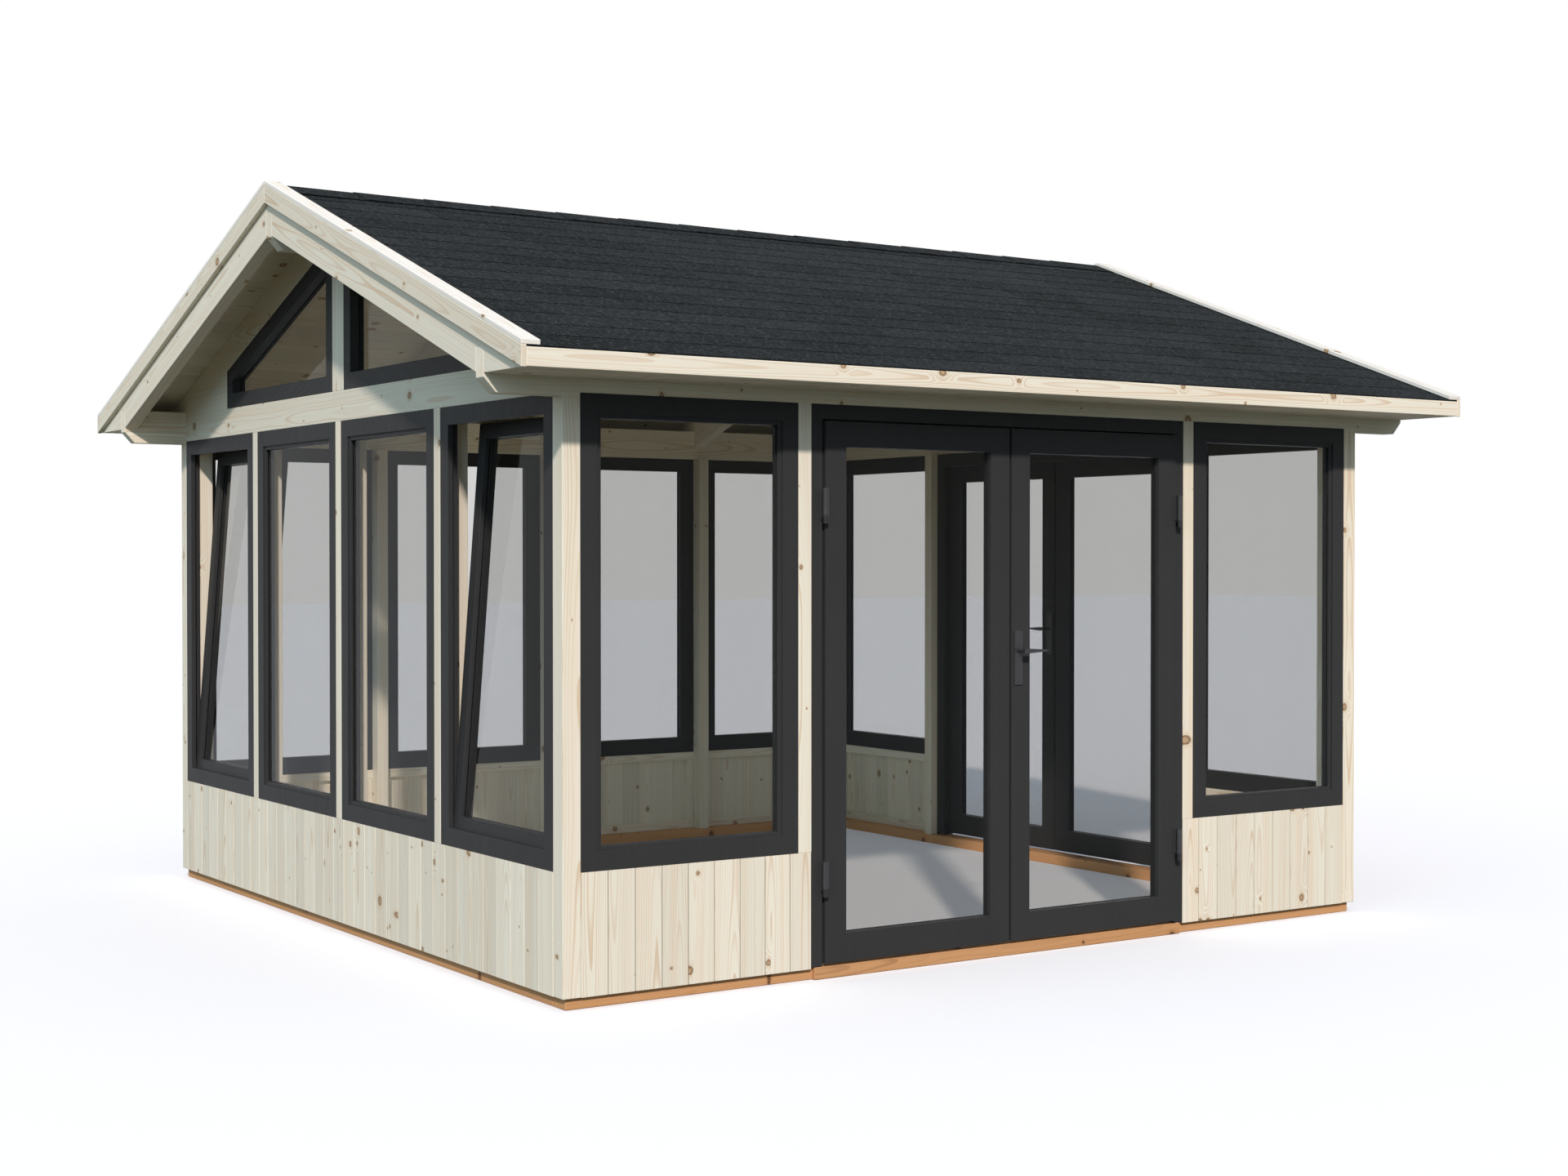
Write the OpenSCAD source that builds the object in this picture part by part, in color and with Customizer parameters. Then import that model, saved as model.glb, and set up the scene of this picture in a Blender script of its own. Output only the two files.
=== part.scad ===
// Square garden greenhouse with four walls of window bays and a low gable roof.
// The origin is the middle of the plan at ground level, X runs along the ridge and Z is up.
// The front wall faces -Y, and each wall is drawn with its outer face at y = 0 and inward as +y.

/* [Plan] */
// Distance between the middles of two neighbouring window bays
bay = 900; // [860:10:960]
// Face of the posts between two bays
mullion_w = 54; // [48:1:66]
// Face of the corner posts
corner_w = 66; // [58:1:80]
// Depth of the posts from the outer face of the wall
post_depth = 108; // [96:1:130]

/* [Foundation] */
// Height of the impregnated foundation beams
sill_h = 45; // [38:1:60]
// Thickness of the wall boards, which hang in front of the foundation beams
clad_t = 19; // [16:1:24]
// Length by which the wall boards lap the foundation beams
clad_lap = 5; // [2:1:15]
// Face height of the battens that frame the boards of a bay
batten_w = 40; // [30:1:60]
// Height of the threshold boards below the tops of the beams
threshold_drop = 2; // [0:1:6]
// Running gap between loosely laid pieces
slip = 0.3; // [0.2:0.1:0.6]

/* [Windows] */
// Height of the lower edge of the window frames
window_z = 443; // [380:1:520]
// Height of the upper edge of the window and door frames
head_z = 1986; // [1900:1:2080]
// Face of the window frames
frame_w = 64; // [55:1:80]
// Width of the glazing beads inside the window frames
bead_w = 15; // [10:1:20]
// Depth of the glazing beads behind the face of the frames
bead_y = 7; // [4:1:10]
// Depth of the window frames
frame_d = 45; // [40:1:50]
// Thickness of the panes
pane_t = 4; // [3:1:6]
// Depth of the panes behind the outer face
pane_y = 18; // [14:1:26]
// Depth by which a pane stands in its groove
pane_lap = 10; // [6:1:14]
// Depth of the outer lip that the tilting sashes close against
lip_d = 20; // [14:1:26]
// Width of the rebate step behind that lip
step_w = 15; // [10:1:20]
// Thickness of the tilting sashes
sash_d = 50; // [44:1:56]
// Face of the tilting sashes
sash_w = 54; // [45:1:62]
// Angle at which the sashes stand open inward
sash_tilt = 4.4; // [2:0.2:8]
// Play of a sash between the sides of its frame, both sides together
sash_play = 2; // [1:0.5:4]
// Play of a shut sash over its head
sash_head_play = 6; // [4:1:10]

/* [Doors] */
// Face of the door frames' jambs
jamb_w = 46; // [38:1:56]
// Face of the door frames' heads
door_head_w = 52; // [44:1:60]
// Depth of the door frames
jamb_d = 70; // [60:1:90]
// Gap between a leaf and its frame
leaf_gap = 6; // [5:0.5:9]
// Gap between the two leaves of a pair
meet_gap = 9; // [8:0.5:12]
// Height of the lower edge of the leaves above the ground
leaf_z = 55; // [52:1:70]
// Thickness of the leaves
leaf_t = 45; // [40:1:50]
// Distance by which the leaves stand out in front of the wall
leaf_out = 12; // [8:1:16]
// Depth of the glass behind the outer face of a leaf
leaf_pane_y = 22; // [16:1:26]
// Face of the leaf stiles
stile_w = 87; // [75:1:105]
// Face of the leaf's top rail
top_rail_w = 88; // [75:1:110]
// Face of the leaf's bottom rail
bottom_rail_w = 100; // [85:1:130]
// Width of the stop behind the closed leaves
stop_w = 14; // [10:1:20]
// Gap between the closed leaves and their stop
stop_gap = 5; // [5:0.5:7]
// Radius of the hinge barrels
knuckle_r = 11; // [9:0.5:13]
// Radius of the hinge pins
pin_r = 5; // [4:0.5:6]
// Length of the upper hinge barrels, which belong to the leaves
barrel_h = 94; // [80:1:105]
// Length of the lower hinge barrels on the frame
socket_h = 28; // [24:1:40]
// Gap between the hinge barrels and the outer face of the leaves
knuckle_gap = 1; // [1:0.5:3]
// Distance of the hinge axis beside the inner edge of the jamb
pin_out = 4; // [4:0.5:6]
// Thickness of the hinge plates on the leaves
hinge_t = 3; // [2.5:0.5:4]
// Width of the hinge plates from the hinge axis
hinge_plate_w = 22; // [18:1:30]
// Depth by which a hinge pin stands in the upper barrel
pin_h = 60; // [45:1:70]
// Radius of the stems that hold the lower barrels to the jambs
stem_r = 4; // [3:0.5:4]
// Height of the parting of the lower hinges
hinge_low_z = 316; // [260:1:400]
// Height of the parting of the upper hinges
hinge_high_z = 1602; // [1500:1:1700]
// Height of the lever handles
lever_z = 1117; // [1000:1:1200]
// Length of a lever
lever_l = 104; // [90:1:120]
// Distance of the lever's spindle from the leaf's meeting edge
lever_in = 30; // [24:1:40]
// Distance of a lever's grip from its back plate
lever_out = 36; // [28:1:50]
// Height of a lever's grip at the spindle
grip_h = 17; // [14:1:22]
// Height of a lever's grip at its tip
grip_tip = 5; // [3:1:8]
// Thickness of a lever's grip
grip_t = 10; // [8:1:14]
// Radius of the handle's spindle
spindle_r = 6; // [5:0.5:8]
// Gap round the spindle inside the leaf
spindle_gap = 3; // [2:0.5:5]
// Width of the handle's back plates
plate_w = 38; // [32:1:44]
// Length of the handle's back plates
plate_l = 198; // [160:1:220]
// Part of the back plate that lies below the spindle
plate_low = 125; // [100:1:140]
// Thickness of the handle's back plates
plate_t = 5; // [3:0.5:8]

/* [Roof] */
// Slope of the roof in degrees
pitch = 20; // [15:0.5:26]
// Height by which the wall plates reach down over the window heads
plate_lap = 13; // [8:1:20]
// Height of the rafters' lower edge above that of the wall plates, at the outer face of the wall
rafter_seat = 45.6; // [35:0.1:58]
// Depth of the rafters, square to the slope
rafter_d = 150; // [130:1:180]
// Width of rafters, wall plates and ridge beam
timber_w = 56; // [48:1:64]
// Height of the wall plates and the ridge beam
plate_h = 145; // [130:1:170]
// Depth of the ridge beam's lower edge below the rafters' lower edge at the ridge line
ridge_lap = 60; // [40:1:80]
// Length that the timber ends reach beyond the gable walls
verge = 276; // [200:1:340]
// Distance from the eaves walls to the back of the fascia boards
eave = 274; // [200:1:300]
// Length of the chamfer under the timber ends
tail_l = 44; // [30:1:60]
// Height of the chamfer under the timber ends
tail_h = 48; // [30:1:60]
// Thickness of fascias, bargeboards and soffit boards
trim_t = 19; // [16:1:24]
// Height of the soffit's lower face above the lower edge of the wall plates
soffit_rise = 60; // [50:1:70]
// Thickness of the roof boards
deck_t = 19; // [16:1:24]
// Thickness of the shingles
shingle_t = 6; // [4:1:9]
// Depth of the bargeboards, square to the slope
barge_d = 64; // [56:1:90]
// Width of the battens on the verges
verge_w = 66; // [50:1:90]
// Thickness of the battens on the verges
verge_t = 15; // [12:1:22]
// Width of one wing of the ridge cap
cap_w = 120; // [90:1:160]
// Gap of the plumb joints at the ridge
joint_gap = 0.6; // [0.4:0.1:1]

/* [Gables] */
// Thickness of the gables' beams, posts and boarded parts
gable_d = 58; // [50:1:70]
// Height of the beams over the gable windows
gable_beam_h = 118; // [100:1:140]
// Face of the post in the middle of the gables
gable_post_w = 112; // [90:1:140]
// Width of the boarded strip between the gable lights and the roof boards, square to the slope
light_strip = 123.5; // [90:0.5:160]
// Height of the outer upright side of the gable lights
light_side = 162; // [120:1:200]
// Depth of the gable lights' panes behind the outer face
light_pane_y = 38; // [30:1:44]

/* [Hidden] */
$fn = 32;

bays = 4;
window_w = bay - mullion_w;
plan = 2 * corner_w + bays * window_w + (bays - 1) * mullion_w;
half = plan / 2;
door_w = 2 * window_w + mullion_w;
clad_z = sill_h - clad_lap;
// Depth of the battens behind the boards, up to the inner face of the window frames
batten_t = frame_d - clad_t;
// Face and bead of the window frames together
sight_w = frame_w + bead_w;
// Outer face of the leaves in a wall's own frame
leaf_y = -leaf_out;
rise = tan(pitch);
// Upright measure of one millimetre square to the slope
plumb = 1 / cos(pitch);
plate_z = head_z - plate_lap;
soffit_z = plate_z + soffit_rise;
rafter_z = plate_z + rafter_seat + half * rise;
ridge_z = rafter_z - ridge_lap;
// Heights at the ridge line of each layer of the roof
deck_apex = rafter_z + rafter_d * plumb;
deck_top = deck_apex + deck_t * plumb;
shingle_apex = deck_top + slip * plumb;
cover_apex = shingle_apex + shingle_t * plumb;
batten_apex = cover_apex + slip * plumb;
eave_run = half + eave;
roof_x = half + verge;
gable_beam_top = head_z + gable_beam_h;
// Half width of the gable lights, from the middle of the gable
light_half = (deck_apex - light_strip * plumb - gable_beam_top - light_side) / rise;
// Overshoot of a cut beyond the faces that it opens
over = 1;

timber = "#d9cfb4";
timber_shade = "#cbc3ab";
anthracite = "#35373b";
impregnated = "#b98252";
glass_tint = [0.72, 0.78, 0.82, 0.35];
roofing = "#3b4347";
steel = "#2c2d30";

// Puts a wall's own frame on side 0 front, 1 right, 2 back or 3 left
module on_wall(side) rotate([0, 0, 90 * side]) translate([0, -half, 0]) children();

// Middle of window bay 0 to 3 along a wall
function bay_x(i) = (i - (bays - 1) / 2) * bay;

// A box that starts at x, y, z
module box_at(p, s) translate(p) cube(s);

// An outline in the y-z plane, drawn from x0 along +X
module along_x(x0, length) translate([x0, 0, 0]) rotate([90, 0, 90]) linear_extrude(length) children();

// An outline in the x-z plane, drawn from y0 inward
module inward(y0, depth) translate([0, y0 + depth, 0]) rotate([90, 0, 0]) linear_extrude(depth) children();

// A rectangular ring in the x-z plane: outer width w and height h on a lower middle point
module ring(w, h, side, top, bottom) {
    difference() {
        translate([-w / 2, 0]) square([w, h]);
        translate([-w / 2 + side, bottom]) square([w - 2 * side, h - top - bottom]);
    }
}

// A strip of the roof between two heights at the ridge line, from d0 to d1 off that line
module slope_strip(low, high, d0, d1) {
    polygon([[d0, low - d0 * rise], [d1, low - d1 * rise], [d1, high - d1 * rise], [d0, high - d0 * rise]]);
}

// Both slopes of a roof piece drawn on the +Y side
module both_slopes() {
    children();
    mirror([0, 1, 0]) children();
}

// Both gable ends of a piece drawn on the +X side
module both_gables() {
    children();
    mirror([1, 0, 0]) children();
}

// Foundation beams under the eaves walls, full length
module eaves_sills() {
    color(impregnated)
        for (side = [0, 2])
            on_wall(side)
                box_at([-half + clad_t, clad_t, 0], [plan - 2 * clad_t, post_depth - clad_t, sill_h]);
}

// Foundation beams under the gable walls, between the others
module gable_sills() {
    color(impregnated)
        for (side = [1, 3])
            on_wall(side)
                box_at([-half + post_depth, clad_t, 0], [plan - 2 * post_depth, post_depth - clad_t, sill_h]);
}

// Threshold boards in front of the beams at the doorways, flush with the wall
module thresholds() {
    color(impregnated)
        for (side = [0, 1])
            on_wall(side)
                box_at([-door_w / 2 + stop_w, 0, 0], [door_w - 2 * stop_w, clad_t, sill_h - threshold_drop]);
}

// Corner posts, rebated for the window frames, that stand on the beams and lap them outside
module corner_posts() {
    color(timber)
        both_gables()
            both_slopes()
                difference() {
                    union() {
                        box_at([half - corner_w, half - corner_w, clad_z],
                            [corner_w, corner_w, head_z - clad_z]);
                        box_at([half - post_depth, half - post_depth, clad_z],
                            [post_depth - frame_d - slip, post_depth - frame_d - slip, head_z - clad_z]);
                    }
                    box_at([0, 0, clad_z - over], [half - clad_t, half - clad_t, clad_lap + over]);
                    box_at([0, half - timber_w, plate_z], [half + over, timber_w + over, plate_h]);
                }
}

// A post between bays, flush above the boards and cut back behind them, its inner part up to top
module wall_post(x, low, top) {
    difference() {
        union() {
            box_at([x - mullion_w / 2, 0, sill_h], [mullion_w, frame_d, head_z - sill_h]);
            box_at([x - mullion_w / 2, 0, sill_h], [mullion_w, post_depth, top - sill_h]);
        }
        box_at([x - mullion_w / 2 - over, -over, sill_h - over],
            [mullion_w + 2 * over, clad_t + over, low - sill_h + over]);
    }
}

// All posts between the bays of the four walls
module wall_posts() {
    color(timber) {
        for (side = [0, 1], x = [-bay, bay])
            on_wall(side) wall_post(x, window_z, side == 0 ? plate_z : head_z);
        for (side = [2, 3], x = [-bay, 0, bay])
            on_wall(side) wall_post(x, window_z, side == 2 ? plate_z : head_z);
    }
}

// The boarded part of a wall between two places along it
module boarding(x0, x1) box_at([x0, 0, clad_z], [x1 - x0, clad_t, window_z - clad_z]);

// Upright boards under the windows
module wall_cladding() {
    color(timber) {
        for (side = [0, 1]) on_wall(side) {
            boarding(-half + corner_w, -door_w / 2);
            boarding(door_w / 2, half - corner_w);
        }
        for (side = [2, 3]) on_wall(side) boarding(-half + corner_w, half - corner_w);
    }
}

// Battens that frame the boards of one bay on the inside
module bay_frame(i) {
    h = window_z - sill_h;
    translate([bay_x(i), clad_t, sill_h]) {
        for (z = [0, h - batten_w]) box_at([-window_w / 2, 0, z], [window_w, batten_t, batten_w]);
        for (x = [-window_w / 2, window_w / 2 - batten_w])
            box_at([x, 0, batten_w + slip], [batten_w, batten_t, h - 2 * batten_w - 2 * slip]);
    }
}

// The battens of all boarded bays
module bay_battens() {
    color(timber_shade) {
        for (side = [0, 1], i = [0, 3]) on_wall(side) bay_frame(i);
        for (side = [2, 3], i = [0:3]) on_wall(side) bay_frame(i);
    }
}

// A fixed window frame with its glazing beads and a groove for its pane
module fixed_window(i) {
    h = head_z - window_z;
    groove = sight_w - pane_lap - slip;
    translate([bay_x(i), 0, window_z])
        difference() {
            union() {
                inward(0, frame_d) ring(window_w, h, frame_w, frame_w, frame_w);
                inward(bead_y, frame_d - bead_y) ring(window_w, h, sight_w, sight_w, sight_w);
            }
            inward(pane_y, pane_t + slip)
                translate([-window_w / 2 + groove, groove])
                    square([window_w - 2 * groove, h - 2 * groove]);
        }
}

// The pane of a fixed window
module fixed_pane(i) {
    h = head_z - window_z;
    edge = sight_w - pane_lap;
    translate([bay_x(i), 0, window_z])
        box_at([-window_w / 2 + edge, pane_y + slip / 2, edge],
            [window_w - 2 * edge, pane_t, h - 2 * edge]);
}

// The fixed outer frame of a tilting window, stepped back behind its lip
module tilt_frame(i) {
    h = head_z - window_z;
    back_w = frame_w - step_w;
    translate([bay_x(i), 0, window_z]) {
        inward(0, lip_d) ring(window_w, h, frame_w, frame_w, frame_w);
        inward(lip_d, frame_d - lip_d) ring(window_w, h, back_w, back_w, back_w);
    }
}

// Places a sash, drawn upright from its lower middle, at its open angle
module tilted(i) {
    back_w = frame_w - step_w;
    translate([bay_x(i), lip_d + sash_d + slip, window_z + back_w + slip])
        rotate([-sash_tilt, 0, 0])
            translate([0, -sash_d, 0])
                children();
}

sash_out_w = window_w - 2 * (frame_w - step_w) - sash_play;
sash_out_h = head_z - window_z - 2 * (frame_w - step_w) - sash_head_play;

// The moving frame of a tilting window
module sash(i) {
    tilted(i)
        difference() {
            inward(0, sash_d) ring(sash_out_w, sash_out_h, sash_w, sash_w, sash_w);
            inward(pane_y, pane_t + slip)
                translate([-sash_out_w / 2 + sash_w - pane_lap - slip, sash_w - pane_lap - slip])
                    square([sash_out_w - 2 * (sash_w - pane_lap - slip),
                        sash_out_h - 2 * (sash_w - pane_lap - slip)]);
        }
}

// The pane of a tilting window
module sash_pane(i) {
    edge = sash_w - pane_lap;
    tilted(i)
        box_at([-sash_out_w / 2 + edge, pane_y + slip / 2, edge],
            [sash_out_w - 2 * edge, pane_t, sash_out_h - 2 * edge]);
}

module front_windows() color(anthracite) for (i = [0, 3]) on_wall(0) fixed_window(i);
module side_windows() color(anthracite) for (i = [0, 3]) on_wall(1) fixed_window(i);
module back_windows() color(anthracite) for (i = [0:3]) on_wall(2) fixed_window(i);
module left_windows() {
    color(anthracite) {
        for (i = [1, 2]) on_wall(3) fixed_window(i);
        for (i = [0, 3]) on_wall(3) tilt_frame(i);
    }
}
module tilting_sashes() color(anthracite) for (i = [0, 3]) on_wall(3) sash(i);
module front_panes() color(glass_tint) for (i = [0, 3]) on_wall(0) fixed_pane(i);
module side_panes() color(glass_tint) for (i = [0, 3]) on_wall(1) fixed_pane(i);
module back_panes() color(glass_tint) for (i = [0:3]) on_wall(2) fixed_pane(i);
module left_panes() {
    color(glass_tint) {
        for (i = [1, 2]) on_wall(3) fixed_pane(i);
        for (i = [0, 3]) on_wall(3) sash_pane(i);
    }
}

leaf_w = (door_w - 2 * jamb_w - 2 * leaf_gap - meet_gap) / 2;
leaf_h = head_z - door_head_w - leaf_gap - leaf_z;
hinge_zs = [hinge_low_z, hinge_high_z];
// Hinge axis of a leaf in the wall's own frame: in front of the jamb's inner edge
pin_x = door_w / 2 - jamb_w + pin_out;
pin_y = leaf_y - knuckle_r - knuckle_gap;
// Where the lever turns, measured along the wall from its middle
lever_x = meet_gap / 2 + lever_in;

// A door frame of two jambs and a head, with the stop behind the leaves
module door_frame() {
    stop_y = leaf_y + leaf_t + stop_gap;
    under = head_z - door_head_w;
    difference() {
        box_at([-door_w / 2, 0, sill_h], [door_w, jamb_d, head_z - sill_h]);
        box_at([-door_w / 2 + jamb_w, -over, sill_h - over],
            [door_w - 2 * jamb_w, stop_y + over, under - sill_h + over]);
        box_at([-door_w / 2 + jamb_w + stop_w, 0, sill_h - over],
            [door_w - 2 * jamb_w - 2 * stop_w, jamb_d + over, under - stop_w - sill_h + over]);
    }
}

// Draws a leaf piece on the hinge side s = -1 or 1, from its hinge edge towards the middle
module leaf_side(s) {
    translate([s * (door_w / 2 - jamb_w - leaf_gap), leaf_y, leaf_z]) scale_x(-s) children();
}

// Mirrors a piece when s is negative
module scale_x(s) {
    if (s < 0) mirror([1, 0, 0]) children();
    else children();
}

// The frame of one door leaf with the groove for its glass and, on the active one, the spindle's hole
module leaf(s, active) {
    difference() {
        leaf_side(s) difference() {
            cube([leaf_w, leaf_t, leaf_h]);
            box_at([stile_w, -over, bottom_rail_w],
                [leaf_w - 2 * stile_w, leaf_t + 2 * over, leaf_h - top_rail_w - bottom_rail_w]);
            box_at([stile_w - pane_lap - slip, leaf_pane_y, bottom_rail_w - pane_lap - slip],
                [leaf_w - 2 * (stile_w - pane_lap - slip), pane_t + slip,
                    leaf_h - top_rail_w - bottom_rail_w + 2 * (pane_lap + slip)]);
        }
        if (active)
            translate([lever_x, leaf_y - over, lever_z])
                rotate([-90, 0, 0]) cylinder(r = spindle_r + spindle_gap, h = leaf_t + 2 * over);
    }
}

// The glass of one door leaf
module leaf_glass(s) {
    leaf_side(s)
        box_at([stile_w - pane_lap, leaf_pane_y + slip / 2, bottom_rail_w - pane_lap],
            [leaf_w - 2 * (stile_w - pane_lap), pane_t,
                leaf_h - top_rail_w - bottom_rail_w + 2 * pane_lap]);
}

// The upper barrels of a leaf's hinges with the plates that hold them to the leaf's face
module leaf_hinges(s) {
    for (z = hinge_zs)
        difference() {
            union() {
                translate([s * pin_x, pin_y, z]) cylinder(r = knuckle_r, h = barrel_h);
                translate([s * pin_x, 0, z]) scale_x(-s)
                    box_at([0, leaf_y - hinge_t, 0], [hinge_plate_w, hinge_t, barrel_h]);
            }
            translate([s * pin_x, pin_y, z - over])
                cylinder(r = pin_r + slip / 2, h = pin_h + slip + over);
        }
}

// The lower barrels with their pins and the stems that hold them to the jambs
module frame_hinge_pair(s) {
    for (z = hinge_zs) {
        translate([s * pin_x, pin_y, z - socket_h]) cylinder(r = knuckle_r, h = socket_h - slip);
        translate([s * pin_x, pin_y, z - slip - over]) cylinder(r = pin_r, h = pin_h + over);
        translate([s * pin_x, pin_y, z - socket_h / 2]) rotate([-90, 0, 0]) cylinder(r = stem_r, h = -pin_y);
    }
}

module front_door_frame() color(anthracite) on_wall(0) door_frame();
module side_door_frame() color(anthracite) on_wall(1) door_frame();
module frame_hinges() color(steel) for (side = [0, 1], s = [-1, 1]) on_wall(side) frame_hinge_pair(s);
module front_left_leaf() color(anthracite) on_wall(0) leaf(-1, false);
module front_right_leaf() color(anthracite) on_wall(0) leaf(1, true);
module side_left_leaf() color(anthracite) on_wall(1) leaf(-1, false);
module side_right_leaf() color(anthracite) on_wall(1) leaf(1, true);
module front_left_glass() color(glass_tint) on_wall(0) leaf_glass(-1);
module front_right_glass() color(glass_tint) on_wall(0) leaf_glass(1);
module side_left_glass() color(glass_tint) on_wall(1) leaf_glass(-1);
module side_right_glass() color(glass_tint) on_wall(1) leaf_glass(1);
module front_left_hinges() color(steel) on_wall(0) leaf_hinges(-1);
module front_right_hinges() color(steel) on_wall(0) leaf_hinges(1);
module side_left_hinges() color(steel) on_wall(1) leaf_hinges(-1);
module side_right_hinges() color(steel) on_wall(1) leaf_hinges(1);

// Back plates of the handle on both faces of the active leaf
module handle_plates() {
    for (y = [leaf_y - plate_t, leaf_y + leaf_t])
        difference() {
            box_at([lever_x - plate_w / 2, y, lever_z - plate_low], [plate_w, plate_t, plate_l]);
            translate([lever_x, y - over, lever_z])
                rotate([-90, 0, 0]) cylinder(r = spindle_r + slip, h = plate_t + 2 * over);
        }
}

// One grip, level, from the spindle towards the hinges and tapered to its tip
module grip(y) {
    difference() {
        translate([lever_x - grip_h / 2, y, lever_z - grip_h / 2])
            cube([lever_l + grip_h / 2, grip_t, grip_h]);
        for (m = [0, 1])
            translate([lever_x, y - over, lever_z]) mirror([0, 0, m])
                inward(0, grip_t + 2 * over)
                    polygon([[grip_h, grip_h / 2], [lever_l + over, grip_tip / 2], [lever_l + over, grip_h]]);
    }
}

// Two levers on one spindle through the leaf
module lever() {
    front = leaf_y - plate_t - lever_out - grip_t;
    back = leaf_y + leaf_t + plate_t + lever_out;
    translate([lever_x, front + grip_t / 2, lever_z])
        rotate([-90, 0, 0]) cylinder(r = spindle_r, h = back - front);
    grip(front);
    grip(back);
}

module front_handle_plates() color(steel) on_wall(0) handle_plates();
module side_handle_plates() color(steel) on_wall(1) handle_plates();
module front_lever() color(steel) on_wall(0) lever();
module side_lever() color(steel) on_wall(1) lever();

// A beam along X whose lower corners are cut off at both ends
module chamfered_beam(y0, z0) {
    difference() {
        box_at([-roof_x, y0, z0], [2 * roof_x, timber_w, plate_h]);
        both_gables()
            translate([roof_x, 0, z0])
                inward(y0 - over, timber_w + 2 * over)
                    polygon([[-tail_l, 0], [over, tail_h * (1 + over / tail_l)],
                        [over, -over], [-tail_l, -over]]);
    }
}

// A wall plate, rebated over the window heads between the corner posts
module wall_plate() {
    difference() {
        chamfered_beam(half - timber_w, plate_z);
        box_at([-half + corner_w, half - frame_d - slip, plate_z - over],
            [plan - 2 * corner_w, frame_d + slip + over, plate_lap + over]);
    }
}

// Wall plates over the eaves walls, the front one cut through over the door frame
module wall_plates() {
    color(timber) {
        wall_plate();
        difference() {
            mirror([0, 1, 0]) wall_plate();
            box_at([-door_w / 2, -half, plate_z - over], [door_w, timber_w + over, plate_lap + over]);
        }
    }
}

// Ridge beam under the rafters
module ridge_beam() color(timber) chamfered_beam(-timber_w / 2, ridge_z);

// The upper side line of a gable wall at distance d from the ridge line
function gable_top(d) = deck_apex - slip * plumb - d * rise;

// Beams over the gable windows, between the wall plates
module gable_beams() {
    color(timber)
        both_gables()
            box_at([half - gable_d, -half + timber_w, head_z], [gable_d, plan - 2 * timber_w, gable_beam_h]);
}

// Posts in the middle of the gables, from the beam up round the ridge beam to the roof boards
module gable_posts() {
    w = gable_post_w / 2;
    color(timber)
        both_gables()
            along_x(half - gable_d, gable_d)
                difference() {
                    polygon([[-w, gable_beam_top], [w, gable_beam_top], [w, gable_top(w)], [0, gable_top(0)],
                        [-w, gable_top(w)]]);
                    translate([-timber_w / 2, ridge_z]) square([timber_w, plate_h]);
                }
}

// Outline of one gable light on the +Y side, pulled in by d on all its sides
module light_outline(d) {
    top = deck_apex - (light_strip + d) * plumb;
    y0 = gable_post_w / 2 + d;
    y1 = light_half - d;
    z0 = gable_beam_top + d;
    polygon([[y0, z0], [y1, z0], [y1, top - y1 * rise], [y0, top - y0 * rise]]);
}

// Boarded parts of the gables around the lights, drawn out over the wall plates to the fascias
module gable_infill() {
    color(timber)
        both_gables()
            both_slopes()
                along_x(half - gable_d, gable_d)
                    difference() {
                        polygon([[gable_post_w / 2, gable_beam_top], [half - timber_w, gable_beam_top],
                            [half - timber_w, plate_z + plate_h], [half, plate_z + plate_h],
                            [half, soffit_z + trim_t], [eave_run, soffit_z + trim_t],
                            [eave_run, gable_top(eave_run)],
                            [gable_post_w / 2, gable_top(gable_post_w / 2)]]);
                        translate([-over, 0]) light_outline(0);
                        light_outline(0);
                        translate([0, -over]) light_outline(0);
                    }
}

// Frames of the gable lights with the grooves for their panes
module gable_lights() {
    color(anthracite)
        both_gables()
            both_slopes()
                difference() {
                    along_x(half - gable_d, gable_d)
                        difference() {
                            light_outline(0);
                            light_outline(frame_w);
                        }
                    along_x(half - light_pane_y - pane_t - slip, pane_t + slip)
                        light_outline(frame_w - pane_lap - slip);
                }
}

// Panes of the gable lights
module gable_panes() {
    color(glass_tint)
        both_gables()
            both_slopes()
                along_x(half - light_pane_y - pane_t - slip / 2, pane_t) light_outline(frame_w - pane_lap);
}

// Side outline of a rafter on the +Y side, notched over ridge beam and wall plate
module rafter_outline(tail_z) {
    difference() {
        slope_strip(rafter_z, deck_apex, joint_gap / 2, eave_run);
        translate([-over, ridge_z - over]) square([timber_w / 2 + over, plate_h + over]);
        translate([half - timber_w, plate_z - over]) square([timber_w, plate_h + over]);
        translate([half - timber_w - over, 0]) square([eave + timber_w + 2 * over, tail_z]);
    }
}

// Inner rafters over the post lines
module rafters() {
    color(timber)
        for (x = [-bay, 0, bay])
            both_slopes() along_x(x - timber_w / 2, timber_w) rafter_outline(soffit_z + trim_t);
}

// Rafters at the verges, whose level tails close the eaves
module barge_rafters() {
    color(timber)
        both_gables()
            both_slopes() along_x(roof_x - timber_w, timber_w) rafter_outline(soffit_z);
}

// Roof boards of both slopes
module roof_boards() {
    color(timber)
        both_slopes()
            along_x(-roof_x, 2 * roof_x)
                slope_strip(deck_apex, deck_top, joint_gap / 2, eave_run);
}

// Level boards that close the eaves from below
module soffit_boards() {
    color(timber_shade)
        both_slopes()
            box_at([-roof_x + timber_w, half, soffit_z], [2 * (roof_x - timber_w), eave, trim_t]);
}

// Boards along the eaves, cut to the slope on top
module fascias() {
    color(timber)
        both_slopes()
            along_x(-roof_x, 2 * roof_x)
                polygon([[eave_run, soffit_z], [eave_run + trim_t, soffit_z],
                    [eave_run + trim_t, deck_top - (eave_run + trim_t) * rise],
                    [eave_run, deck_top - eave_run * rise]]);
}

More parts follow.
